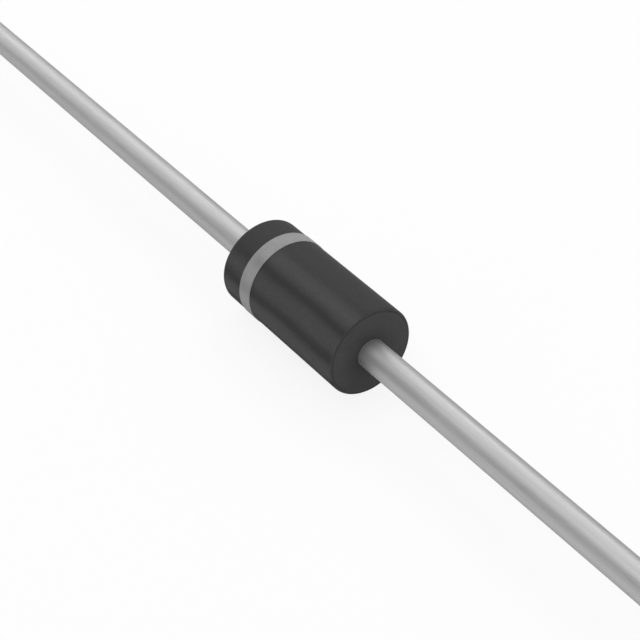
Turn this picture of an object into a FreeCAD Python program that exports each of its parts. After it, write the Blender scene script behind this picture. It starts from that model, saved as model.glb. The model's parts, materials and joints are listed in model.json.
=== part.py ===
import FreeCAD, Part
import math
import os

# Axial rectifier diode, in millimetres: a moulded cylinder with a round wire out of each end.
# The origin is the middle of the body, and X is the axis of the body and of both wires.
# The anode wire leaves towards +X. The cathode wire leaves towards -X, at the banded end.

# Moulded body
body_diameter = 2.70
body_length = 5.20
body_edge_radius = 0.10

# Printed band, placed from the cathode end of the body
band_offset = 0.89
band_width = 0.49
ink_thickness = 0.02

# Wires, each cold-headed like a nail at its inner end. lead_length is what shows outside the body.
# Overhang, flare and taper are how far the wire is built up beyond its plain surface.
wire_diameter = 0.86
lead_length = 25.40
lead_end_radius = 0.08
head_overhang = 0.37
head_thickness = 0.30
head_rim_bulge = 0.04
neck_flare = 0.16
neck_length = 0.36
grip_taper = 0.04

# Square chip, etched back to a narrower mesa on the anode side
chip_width = 1.10
chip_thickness = 0.28
mesa_height = 0.08
mesa_setback = 0.08

# Solder between the chip and each head: a bare margin on the chip, wider where it wets the head
solder_thickness = 0.06
solder_margin = 0.04
solder_spread = 0.10
solder_hollow = 0.012

# Junction coating, a bead over the edge of the chip that ends halfway along the rim of each head.
# The lip is its thickness there, and the cover its thickness at the middle.
coating_lip = 0.03
coating_cover = 0.14

# Radii and places along the axis that follow from the sizes above
body_radius = body_diameter / 2
wire_radius = wire_diameter / 2
head_radius = wire_radius + head_overhang
chip_corner_radius = chip_width / math.sqrt(2)
coating_radius = max(head_radius, chip_corner_radius) + coating_cover
body_face = body_length / 2
chip_face = chip_thickness / 2
head_face = chip_face + solder_thickness
head_back = head_face + head_thickness
head_middle = (head_face + head_back) / 2
lead_tip = body_face + lead_length

origin = FreeCAD.Vector(0, 0, 0)
axis = FreeCAD.Vector(1, 0, 0)
upright = FreeCAD.Vector(0, 0, 1)

# Two places along the axis are one place when they are closer than this
snap = 0.001


def at(x, radius):
    """A point of a profile: x along the axis, radius away from it."""
    return FreeCAD.Vector(x, 0, radius)


def line(start, end):
    """A straight edge of a profile."""
    return Part.LineSegment(at(*start), at(*end)).toShape()


def arc(start, through, end):
    """A round edge of a profile."""
    return Part.Arc(at(*start), at(*through), at(*end)).toShape()


def turned(edges):
    """The solid that a profile makes as it turns about the axis, closed along the axis."""
    first = edges[0].Vertexes[0].Point
    last = edges[-1].Vertexes[-1].Point
    closing = Part.LineSegment(last, first).toShape()
    face = Part.Face(Part.Wire(edges + [closing]))
    return face.revolve(origin, axis, 360)


def with_round_rims(shape, places, radius):
    """The same piece with its sharp rims at these places along the axis rounded."""
    circles = [edge for edge in shape.Edges if isinstance(edge.Curve, Part.Circle)]
    rims = [edge for edge in circles if any(abs(edge.Curve.Center.x - x) < snap for x in places)]
    return shape.makeFillet(radius, rims)


def half_turn(shape):
    """The same piece at the other end of the body."""
    return shape.rotated(origin, upright, 180)


def make_anode_lead():
    """Straight wire with a nail head, and a cone behind the head that leads into a slight taper.

    The rim of the head bulges where the metal was upset. The taper ends at the face of the body,
    so that the moulding wedges the wire in.
    """
    rim_radius = head_radius - head_rim_bulge
    neck_end = head_back + neck_length
    wire = turned([
        line((head_face, 0), (head_face, rim_radius)),
        arc((head_face, rim_radius), (head_middle, head_radius), (head_back, rim_radius)),
        line((head_back, rim_radius), (head_back, wire_radius + neck_flare)),
        line((head_back, wire_radius + neck_flare), (neck_end, wire_radius + grip_taper)),
        line((neck_end, wire_radius + grip_taper), (body_face, wire_radius)),
        line((body_face, wire_radius), (lead_tip, wire_radius)),
        line((lead_tip, wire_radius), (lead_tip, 0)),
    ])
    return with_round_rims(wire, [lead_tip], lead_end_radius)


def make_chip():
    """Square chip: full width on the cathode side, with flanks that slope in to the mesa."""
    def square(x, width):
        half = width / 2
        corners = [(half, half), (-half, half), (-half, -half), (half, -half), (half, half)]
        return Part.makePolygon([FreeCAD.Vector(x, y, z) for y, z in corners])

    mesa_foot = chip_face - mesa_height
    mesa_width = chip_width - 2 * mesa_setback
    sections = [square(-chip_face, chip_width), square(mesa_foot, chip_width), square(chip_face, mesa_width)]
    return Part.makeLoft(sections, True, True)


def make_solder(contact_width):
    """Disc between the chip and the anode head, with a hollow rim where the solder drew in."""
    chip_radius = contact_width / 2 - solder_margin
    spread_radius = chip_radius + solder_spread
    waist = ((chip_face + head_face) / 2, (chip_radius + spread_radius) / 2 - solder_hollow)
    return turned([
        line((chip_face, 0), (chip_face, chip_radius)),
        arc((chip_face, chip_radius), waist, (head_face, spread_radius)),
        line((head_face, spread_radius), (head_face, 0)),
    ])


def make_coating_blank():
    """Barrel that the coating fills, from the rim of one head to the rim of the other."""
    lip_radius = head_radius + coating_lip
    return turned([
        line((-head_middle, 0), (-head_middle, lip_radius)),
        arc((-head_middle, lip_radius), (0, coating_radius), (head_middle, lip_radius)),
        line((head_middle, lip_radius), (head_middle, 0)),
    ])


def make_body(inner_pieces):
    """Moulded cylinder with rounded rims, cast solid round everything inside it."""
    blank = Part.makeCylinder(body_radius, body_length, at(-body_face, 0), axis)
    outside = with_round_rims(blank, [-body_face, body_face], body_edge_radius)
    return outside.cut(inner_pieces)


def make_band():
    """Thin ring of ink on the body."""
    start = at(band_offset - body_face, 0)
    printed = Part.makeCylinder(body_radius + ink_thickness, band_width, start, axis)
    return printed.cut(Part.makeCylinder(body_radius, band_width, start, axis))


anode_lead = make_anode_lead()
cathode_lead = half_turn(anode_lead)
chip = make_chip()
anode_solder = make_solder(chip_width - 2 * mesa_setback)
cathode_solder = half_turn(make_solder(chip_width))
coating_blank = make_coating_blank()

pieces = {
    "moulded_body": make_body([anode_lead, cathode_lead, coating_blank]),
    "cathode_band": make_band(),
    "anode_lead": anode_lead,
    "cathode_lead": cathode_lead,
    "silicon_chip": chip,
    "anode_solder": anode_solder,
    "cathode_solder": cathode_solder,
    "junction_coating": coating_blank.cut([anode_lead, cathode_lead, chip, anode_solder, cathode_solder]),
}

os.makedirs("parts", exist_ok=True)
for name, shape in pieces.items():
    shape.exportStep(os.path.join("parts", name + ".step"))
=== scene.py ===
import json
import math

import bpy
from mathutils import Matrix, Vector


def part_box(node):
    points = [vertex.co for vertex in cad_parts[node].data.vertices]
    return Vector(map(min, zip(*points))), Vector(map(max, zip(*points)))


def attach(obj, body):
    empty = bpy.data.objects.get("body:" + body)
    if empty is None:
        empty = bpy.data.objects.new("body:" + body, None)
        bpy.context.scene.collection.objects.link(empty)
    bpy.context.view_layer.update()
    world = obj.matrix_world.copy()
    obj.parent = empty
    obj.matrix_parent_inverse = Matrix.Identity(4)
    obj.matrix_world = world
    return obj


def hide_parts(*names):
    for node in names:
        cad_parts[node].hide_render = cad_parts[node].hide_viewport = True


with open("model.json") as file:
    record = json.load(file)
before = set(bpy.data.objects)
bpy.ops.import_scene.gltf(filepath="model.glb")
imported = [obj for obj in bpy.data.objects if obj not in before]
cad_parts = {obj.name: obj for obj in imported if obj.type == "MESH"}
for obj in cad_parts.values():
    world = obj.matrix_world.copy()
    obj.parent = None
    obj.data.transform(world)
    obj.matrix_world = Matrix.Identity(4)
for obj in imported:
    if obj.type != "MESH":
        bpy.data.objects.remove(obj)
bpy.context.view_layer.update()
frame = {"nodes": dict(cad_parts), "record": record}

# Axial rectifier diode. Lengths are in millimetres in the named sizes and in metres in the meshes.
# The origin is the middle of the body, +X runs out along the anode wire and +Z is up.
MM = 0.001

# Sizes that the frame gives
mounts = {mount["name"]: mount for mount in frame["record"]["mounts"]}
body_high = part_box("moulded_body")[1]
band_low, band_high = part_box("cathode_band")
lead_low, lead_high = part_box("anode_lead")
coating_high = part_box("junction_coating")[1]
body_radius = body_high.z / MM
body_face = body_high.x / MM
band_radius = band_high.y / MM
band_start = band_low.x / MM
band_end = band_high.x / MM
wire_radius = mounts["anode_lead"]["dims"]["r_mm"]
lead_tip = lead_high.x / MM
head_face = lead_low.x / MM
head_radius = lead_high.z / MM
coating_end = coating_high.x / MM
coating_radius = coating_high.z / MM

# Sizes that the frame doesn't give. All but the ink's edge are as in the solids.
body_edge_radius = 0.10
lead_end_radius = 0.08
head_thickness = 0.30
head_rim_bulge = 0.04
neck_flare = 0.16
neck_length = 0.36
grip_taper = 0.04
coating_lip = 0.03
ink_edge_radius = 0.008
head_back = head_face + head_thickness

# How finely the round pieces are divided
body_segments = 256
wire_segments = 160
arc_step = math.radians(6)
support_reach = 0.01
shortest_supported_run = 4 * support_reach
crease_angle = math.radians(35)

# Painted reflections and shade along the body, as soft lighter and darker bands: how many, where they lie
# and how far they waver, in radians of their wave, and the heights between which their painted shade
# deepens towards the underside
reflection_band_count = 10
reflection_band_turn = -0.7
reflection_band_waver = 0.4
underside_shade_deepest_height = -0.5
underside_shade_shallow_height = 0.35

# The strip near the top of the body that has no painted bands: its middle, how far to each side of it the
# bands start and are whole, and how much wider it is beyond the ring
bare_strip_middle = math.radians(78)
bare_strip_start = math.radians(11)
bare_strip_end = math.radians(36)
bare_strip_widening = math.radians(35)

# The body's end faces: a dark line inside the rim and a darker ring round the wire, both painted shade, as
# shares of the plain tone
rim_shade_radius = body_radius - 0.75 * body_edge_radius
rim_shade_half_width = 0.04
rim_shade_tone = 0.65
wire_shade_tone = 0.8
wire_shade_radius = 0.7 * body_radius

# How far the plating of the wires reaches into the body
plating_inside = 0.05

# Studio
lamp_distance = 400
room_tone = 0.4
floor_half_width = 1000
floor_tone = 0.95
floor_glow_share = 0.87


def arc_points(centre, radius, start, end):
    """Points of an arc in the profile plane, from the start angle to the end angle, both included."""
    steps = max(2, math.ceil(abs(end - start) / arc_step))
    angles = [start + (end - start) * step / steps for step in range(steps + 1)]
    x, height = centre
    return [(x + radius * math.cos(angle), height + radius * math.sin(angle)) for angle in angles]


def arc_through(start, middle, end):
    """Points of the arc from start to end whose middle bulges to the given point, midway along it."""
    half_chord = (end[0] - start[0]) / 2
    rise = middle[1] - start[1]
    radius = (half_chord ** 2 + rise ** 2) / (2 * rise)
    half_angle = math.asin(half_chord / radius)
    centre = (middle[0], middle[1] - radius)
    return arc_points(centre, radius, math.pi / 2 + half_angle, math.pi / 2 - half_angle)


def with_supports(points):
    """The same profile with a point near each end of its longer straight runs, so that they shade flat."""
    supported = [points[0]]
    for before, after in zip(points, points[1:]):
        run = Vector(after) - Vector(before)
        if run.length > shortest_supported_run:
            step = run.normalized() * support_reach
            supported.append(tuple(Vector(before) + step))
            supported.append(tuple(Vector(after) - step))
        supported.append(after)
    return supported


def lathe(name, profile, segments, closed):
    """A mesh turned about X from (x, radius) points in millimetres.

    A closed profile goes round a ring-shaped section. An open one starts and ends on the axis.
    """
    vertices, rings = [], []
    for x, radius in profile:
        if radius == 0:
            rings.append([len(vertices)] * segments)
            vertices.append((x * MM, 0, 0))
            continue
        rings.append([len(vertices) + index for index in range(segments)])
        for index in range(segments):
            angle = 2 * math.pi * index / segments
            vertices.append((x * MM, radius * math.cos(angle) * MM, radius * math.sin(angle) * MM))
    pairs = list(zip(rings, rings[1:]))
    if closed:
        pairs.append((rings[-1], rings[0]))
    faces = []
    for first, second in pairs:
        for index in range(segments):
            onward = (index + 1) % segments
            corners = [first[index], first[onward], second[onward], second[index]]
            faces.append(list(dict.fromkeys(corners)))
    mesh = bpy.data.meshes.new(name)
    mesh.from_pydata(vertices, [], faces)
    mesh.validate()
    mesh.shade_smooth()
    mesh.set_sharp_from_angle(angle=crease_angle)
    piece = bpy.data.objects.new(name, mesh)
    bpy.context.scene.collection.objects.link(piece)
    return piece


def head_rim():
    """The bulged rim of the anode wire's head, from its face to its back."""
    rim = head_radius - head_rim_bulge
    middle = (head_face + head_back) / 2
    return arc_through((head_face, rim), (middle, head_radius), (head_back, rim))


def neck():
    """The cone behind the head, and the slight taper from it to where the wire leaves the body."""
    return [
        (head_back, wire_radius + neck_flare),
        (head_back + neck_length, wire_radius + grip_taper),
        (body_face, wire_radius),
    ]


def lead_profile():
    """The anode wire from the middle of its head to its tip."""
    edge_centre = (lead_tip - lead_end_radius, wire_radius - lead_end_radius)
    tip = arc_points(edge_centre, lead_end_radius, math.pi / 2, 0)
    return with_supports([(head_face, 0), *head_rim(), *neck(), *tip, (lead_tip, 0)])


def mirrored(profile):
    """The same profile at the other end of the body, in the order that keeps its surface facing out."""
    return [(-x, radius) for x, radius in reversed(profile)]


def body_profile():
    """The section of the moulding: its outside, and the cavity that the inner pieces fill."""
    corner = (body_face - body_edge_radius, body_radius - body_edge_radius)
    outside = arc_points(corner, body_edge_radius, math.pi / 2, 0)
    rim = head_rim()
    back_of_rim = rim[len(rim) // 2:]
    hole = [*reversed(neck()), *reversed(back_of_rim)]
    lip = (coating_end, head_radius + coating_lip)
    crown = arc_through((-lip[0], lip[1]), (0, coating_radius), lip)
    return [*mirrored(outside), *outside, *hole, *reversed(crown), *mirrored(hole)]


def band_profile():
    """The section of the printed ring, with its outer corners slightly rounded."""
    start, end, radius = band_start, band_end, ink_edge_radius
    return [
        (start, body_radius),
        *arc_points((start + radius, band_radius - radius), radius, math.pi, math.pi / 2),
        *arc_points((end - radius, band_radius - radius), radius, math.pi / 2, 0),
        (end, body_radius),
    ]


class Finish:
    """A procedural material round one Principled shader, with its patterns fixed to the object."""

    def __init__(self, name, constants):
        self.material = bpy.data.materials.new(name)
        self.material.use_nodes = True
        self.nodes = self.material.node_tree.nodes
        self.links = self.material.node_tree.links
        self.shader = self.nodes["Principled BSDF"]
        self.place = self.nodes.new("ShaderNodeTexCoord").outputs["Object"]
        for socket, value in constants.items():
            self.shader.inputs[socket].default_value = value

    def noise(self, along, around, detail=2):
        """Noise from 0 to 1 in patches so many millimetres long along X and wide across it."""
        mapping = self.nodes.new("ShaderNodeMapping")
        mapping.inputs["Scale"].default_value = (1 / (along * MM), 1 / (around * MM), 1 / (around * MM))
        self.links.new(self.place, mapping.inputs["Vector"])
        noise = self.nodes.new("ShaderNodeTexNoise")
        noise.inputs["Scale"].default_value = 1
        noise.inputs["Detail"].default_value = detail
        self.links.new(mapping.outputs["Vector"], noise.inputs["Vector"])
        return noise.outputs[0]

    def spread(self, factor, low, high, start=0.3, end=0.7):
        """The factor stretched so that start becomes low and end becomes high, and held there beyond them.

        The default start and end take in most of a noise.
        """
        stretch = self.nodes.new("ShaderNodeMapRange")
        for socket, value in (("From Min", start), ("From Max", end), ("To Min", low), ("To Max", high)):
            stretch.inputs[socket].default_value = value
        self.links.new(factor, stretch.inputs["Value"])
        return stretch.outputs["Result"]

    def maths(self, operation, first, second=None):
        """A Math node on outputs or plain numbers."""
        made = self.nodes.new("ShaderNodeMath")
        made.operation = operation
        for socket, value in zip(made.inputs, (first, second)):
            if isinstance(value, (int, float)):
                socket.default_value = value
            elif value is not None:
                self.links.new(value, socket)
        return made.outputs["Value"]

    def product(self, first, *others):
        """Outputs multiplied together."""
        for other in others:
            first = self.maths("MULTIPLY", first, other)
        return first

    def coordinates(self):
        """The place on the object as x, y and z, in metres."""
        split = self.nodes.new("ShaderNodeSeparateXYZ")
        self.links.new(self.place, split.inputs["Vector"])
        return split.outputs["X"], split.outputs["Y"], split.outputs["Z"]

    def distance_along(self):
        """The distance from the middle of the body along the axis, in metres."""
        x = self.coordinates()[0]
        return self.maths("ABSOLUTE", x)

    def distance_from_axis(self):
        """The distance from the axis, in metres."""
        y, z = self.coordinates()[1:]
        return self.maths("SQRT", self.maths("ADD", self.product(y, y), self.product(z, z)))

    def off_faces(self):
        """1 on the side of the body and 0 on its end faces, with a change over the rounded rims."""
        inner, outer = body_radius - body_edge_radius / 2, body_radius - ink_edge_radius
        return self.spread(self.distance_from_axis(), 0, 1, start=inner * MM, end=outer * MM)

    def off_bare_strip(self, x, angle):
        """0 on the strip near the top that has no bands, and 1 well clear of it."""
        widening = self.spread(x, bare_strip_widening, 0, start=band_start * MM, end=band_end * MM)
        from_middle = self.maths("ABSOLUTE", self.maths("SUBTRACT", angle, bare_strip_middle))
        off_strip = self.maths("SUBTRACT", from_middle, widening)
        return self.spread(off_strip, 0, 1, start=bare_strip_start, end=bare_strip_end)

    def bands(self, depth, underside_shade_depth, lift):
        """A factor for painted reflections and shade: soft, slightly wavy bands along the axis, evenly
        spaced round it.

        It is 1 less the depth in the bands, a painted shade, and 1 and the lift between them, a painted
        highlight. The depth grows to the underside shade depth towards the underside. There are no bands on
        the bare strip and the end faces.
        """
        x, y, z = self.coordinates()
        angle = self.maths("ARCTAN2", z, y)
        patches = self.noise(along=2.5, around=0.8)
        waver = self.spread(patches, reflection_band_turn - reflection_band_waver, reflection_band_turn + reflection_band_waver)
        wave = self.maths("COSINE", self.maths("ADD", self.product(angle, reflection_band_count), waver))
        valley = self.maths("POWER", self.spread(wave, 1, 0, start=-1, end=1), 2)
        # The painted shade deepens towards the underside
        deepest, shallow = underside_shade_deepest_height * MM, underside_shade_shallow_height * MM
        full_depth = self.spread(z, underside_shade_depth, depth, start=deepest, end=shallow)
        fall = self.product(valley, self.maths("ADD", full_depth, lift))
        change = self.maths("SUBTRACT", lift, fall)
        return self.maths("ADD", self.product(change, self.off_faces(), self.off_bare_strip(x, angle)), 1)

    def mixed(self, factor, first, second):
        """A colour mix. Each colour is an output or three numbers."""
        mix = self.nodes.new("ShaderNodeMix")
        mix.data_type = "RGBA"
        self.links.new(factor, mix.inputs["Factor"])
        for socket, value in ((mix.inputs["A"], first), (mix.inputs["B"], second)):
            if isinstance(value, tuple):
                socket.default_value = (*value, 1)
            else:
                self.links.new(value, socket)
        return mix.outputs["Result"]

    def bump(self, height, depth):
        """Relief of so many millimetres between the lowest and the highest of the height."""
        bump = self.nodes.new("ShaderNodeBump")
        bump.inputs["Strength"].default_value = 1
        bump.inputs["Distance"].default_value = depth * MM
        self.links.new(height, bump.inputs["Height"])
        self.links.new(bump.outputs["Normal"], self.shader.inputs["Normal"])

    def feed(self, socket, output):
        """Joins an output to one of the shader's sockets."""
        self.links.new(output, self.shader.inputs[socket])


def tin_finish():
    """Dull tin plating with faint lengthwise drawing marks. The wire inside the body is bare copper."""
    sheen, copper = (0.4, 0.4, 0.4, 1), (0.72, 0.40, 0.27)
    finish = Finish("tin", {"Metallic": 0.8, "Specular IOR Level": 0.2, "Specular Tint": sheen})
    marks = finish.noise(along=2.5, around=0.05, detail=3)
    clouds = finish.noise(along=0.9, around=0.35, detail=3)
    tone = finish.product(
        finish.spread(marks, low=0.48, high=0.53),
        finish.spread(clouds, low=0.98, high=1.02),
    )
    bare = finish.maths("LESS_THAN", finish.distance_along(), (body_face - plating_inside) * MM)
    finish.feed("Base Color", finish.mixed(bare, tone, copper))
    finish.feed("Roughness", finish.spread(clouds, low=0.46, high=0.53))
    finish.bump(marks, depth=0.0006)
    return finish.material


def epoxy_finish():
    """Dark moulding compound: a fine matt grain, soft lengthwise bands of painted reflections and shade,
    and end faces with a painted dark line inside the rim and painted shade round the wire."""
    finish = Finish("epoxy", {"Specular IOR Level": 0.05})
    flow = finish.noise(along=5, around=0.4)
    grain = finish.noise(along=0.045, around=0.045, detail=1)
    from_axis = finish.distance_from_axis()
    from_rim_shade = finish.maths("ABSOLUTE", finish.maths("SUBTRACT", from_axis, rim_shade_radius * MM))
    tone = finish.product(
        finish.spread(flow, low=0.048, high=0.054),
        finish.spread(grain, low=0.92, high=1.08),
        # Painted reflections and shade: lighter and darker bands, darker towards the underside
        finish.bands(depth=0.15, underside_shade_depth=0.6, lift=0.42),
        # Painted shade: the dark line inside the rim and the darker ring round the wire
        finish.spread(from_rim_shade, rim_shade_tone, 1, start=0, end=rim_shade_half_width * MM),
        finish.spread(from_axis, wire_shade_tone, 1, start=wire_radius * MM, end=wire_shade_radius * MM),
    )
    finish.feed("Base Color", tone)
    finish.feed("Roughness", finish.spread(flow, low=0.57, high=0.63))
    finish.bump(grain, depth=0.0018)
    return finish.material


def ink_finish():
    """Silver-grey marking ink, a little uneven, with fine lengthwise streaks and the body's painted
    reflection bands.
    """
    finish = Finish("ink", {"Specular IOR Level": 0.15})
    density = finish.noise(along=0.25, around=0.25, detail=3)
    streaks = finish.noise(along=1.2, around=0.04)
    tone = finish.product(
        finish.spread(density, low=0.285, high=0.315),
        finish.spread(streaks, low=0.97, high=1.03),
        # The body's painted reflections and shade, weaker on the ink
        finish.bands(depth=0.13, underside_shade_depth=0.2, lift=0.05),
    )
    finish.feed("Base Color", tone)
    finish.feed("Roughness", finish.spread(density, low=0.46, high=0.54))
    finish.bump(density, depth=0.001)
    return finish.material


def silicon_finish():
    """A lapped silicon chip: dark blue-grey, glossy, with fine lapping marks."""
    finish = Finish("silicon_chip_finish", {"Metallic": 0.5})
    dark, pale = (0.11, 0.12, 0.15), (0.16, 0.17, 0.20)
    lapping = finish.noise(along=0.3, around=0.015)
    finish.feed("Base Color", finish.mixed(finish.spread(lapping, low=0, high=1), dark, pale))
    finish.feed("Roughness", finish.spread(lapping, low=0.16, high=0.30))
    finish.bump(lapping, depth=0.0003)
    return finish.material


def solder_finish():
    """Lead-rich solder, once molten: bright grey with a soft grain."""
    finish = Finish("solder_finish", {"Metallic": 1.0})
    dark, pale = (0.46, 0.46, 0.47), (0.62, 0.62, 0.61)
    grains = finish.noise(along=0.06, around=0.09, detail=3)
    finish.feed("Base Color", finish.mixed(finish.spread(grains, low=0, high=1), dark, pale))
    finish.feed("Roughness", finish.spread(grains, low=0.28, high=0.48))
    finish.bump(grains, depth=0.002)
    return finish.material


def silicone_finish():
    """Milky silicone rubber round the junction, with a soft sheen and small clouds."""
    finish = Finish("silicone_finish", {"Roughness": 0.38})
    dark, pale = (0.66, 0.65, 0.61), (0.80, 0.79, 0.75)
    clouds = finish.noise(along=0.25, around=0.25, detail=3)
    finish.feed("Base Color", finish.mixed(finish.spread(clouds, low=0, high=1), dark, pale))
    finish.bump(clouds, depth=0.004)
    return finish.material


def place(piece, node, material):
    """Rides a new piece on the part in the stead of its solid."""
    piece.data.materials.append(material)
    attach(piece, "root")
    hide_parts(node)


def dress(node, material):
    """Gives a solid that is shown as it is its finish."""
    materials = frame["nodes"][node].data.materials
    materials.clear()
    materials.append(material)


def build():
    """Turns the outer pieces in the stead of their solids, and dresses the inner solids."""
    body = lathe("body", body_profile(), body_segments, closed=True)
    band = lathe("band", band_profile(), body_segments, closed=True)
    wire_anode = lathe("wire_anode", lead_profile(), wire_segments, closed=False)
    wire_cathode = lathe("wire_cathode", mirrored(lead_profile()), wire_segments, closed=False)
    tin, solder = tin_finish(), solder_finish()
    place(body, "moulded_body", epoxy_finish())
    place(band, "cathode_band", ink_finish())
    place(wire_anode, "anode_lead", tin)
    place(wire_cathode, "cathode_lead", tin)
    dress("silicon_chip", silicon_finish())
    dress("junction_coating", silicone_finish())
    dress("anode_solder", solder)
    dress("cathode_solder", solder)


def camera():
    """The photo's camera. Its place is given from the middle of the body, in body radii."""
    azimuth, elevation = math.radians(35.579), math.radians(37.751)
    focal_pixels, image_pixels, sensor = 1763.0, 640, 36.0
    distance, right_shift, up_shift = 36.24, 0.1147, -0.3094
    level = Vector((math.cos(azimuth), -math.sin(azimuth), 0))
    back = level * math.cos(elevation) + Vector((0, 0, math.sin(elevation)))
    right = Vector((0, 0, 1)).cross(back).normalized()
    up = back.cross(right)
    data = bpy.data.cameras.new("camera")
    data.sensor_width = sensor
    data.lens = focal_pixels / image_pixels * sensor
    data.clip_start, data.clip_end = 0.001, 10
    view = bpy.data.objects.new("camera", data)
    view.location = (back * distance + right * right_shift + up * up_shift) * body_radius * MM
    view.rotation_mode = "QUATERNION"
    view.rotation_quaternion = back.to_track_quat("Z", "Y")
    bpy.context.scene.collection.objects.link(view)
    bpy.context.scene.camera = view


def softbox(name, azimuth, elevation, width, height, brightness):
    """A flat lamp that faces the object, so many degrees round it and above the floor, its width level."""
    turn, rise = math.radians(azimuth), math.radians(elevation)
    outward = Vector((math.cos(rise) * math.cos(turn), math.cos(rise) * math.sin(turn), math.sin(rise)))
    level = Vector((0, 0, 1)).cross(outward).normalized()
    data = bpy.data.lights.new(name, "AREA")
    data.shape = "RECTANGLE"
    data.size, data.size_y = width * MM, height * MM
    data.energy = brightness * math.pi * data.size * data.size_y
    lamp = bpy.data.objects.new(name, data)
    facing = Matrix((level, outward.cross(level), outward)).transposed().to_4x4()
    lamp.matrix_world = Matrix.Translation(outward * lamp_distance * MM) @ facing
    bpy.context.scene.collection.objects.link(lamp)


def studio():
    """Six soft boxes in a pale grey room: a low one past each wire's tip, two behind and two high up."""
    world = bpy.data.worlds.new("studio")
    bpy.context.scene.world = world
    world.use_nodes = True
    background = world.node_tree.nodes["Background"]
    background.inputs["Color"].default_value = (room_tone, room_tone, room_tone, 1)
    softbox("front", azimuth=0, elevation=12, width=270, height=130, brightness=6.4)
    softbox("behind", azimuth=180, elevation=12, width=270, height=130, brightness=4.5)
    softbox("back_far", azimuth=112, elevation=38, width=270, height=200, brightness=1.5)
    softbox("back", azimuth=157, elevation=38, width=270, height=200, brightness=1.55)
    softbox("top_far", azimuth=120, elevation=64, width=270, height=230, brightness=0.65)
    softbox("top_near", azimuth=240, elevation=64, width=270, height=230, brightness=1.7)


def floor_material():
    """A pale matt floor that also glows for the camera and in reflections, so that it shows white there."""
    colour = (floor_tone, floor_tone, floor_tone, 1)
    finish = Finish("floor", {"Base Color": colour, "Roughness": 1.0, "Specular IOR Level": 0.0})
    path = finish.nodes.new("ShaderNodeLightPath").outputs
    mirrored_rays = finish.maths("ADD", path["Is Glossy Ray"], path["Is Transmission Ray"])
    seen = finish.maths("ADD", path["Is Camera Ray"], mirrored_rays)
    mix = finish.nodes.new("ShaderNodeMixShader")
    finish.links.new(finish.product(seen, floor_glow_share), mix.inputs["Fac"])
    finish.links.new(finish.shader.outputs["BSDF"], mix.inputs[1])
    finish.links.new(finish.nodes.new("ShaderNodeEmission").outputs["Emission"], mix.inputs[2])
    finish.links.new(mix.outputs["Shader"], finish.nodes["Material Output"].inputs["Surface"])
    return finish.material


def floor():
    """A floor under the lowest point of the object, which keeps its faint shadow."""
    half, level = floor_half_width * MM, -band_high.z
    corners = [(-half, -half, level), (half, -half, level), (half, half, level), (-half, half, level)]
    mesh = bpy.data.meshes.new("floor")
    mesh.from_pydata(corners, [], [(0, 1, 2, 3)])
    mesh.materials.append(floor_material())
    surface = bpy.data.objects.new("floor", mesh)
    bpy.context.scene.collection.objects.link(surface)


build()
camera()
studio()
floor()
bpy.context.scene.view_settings.view_transform = "Standard"
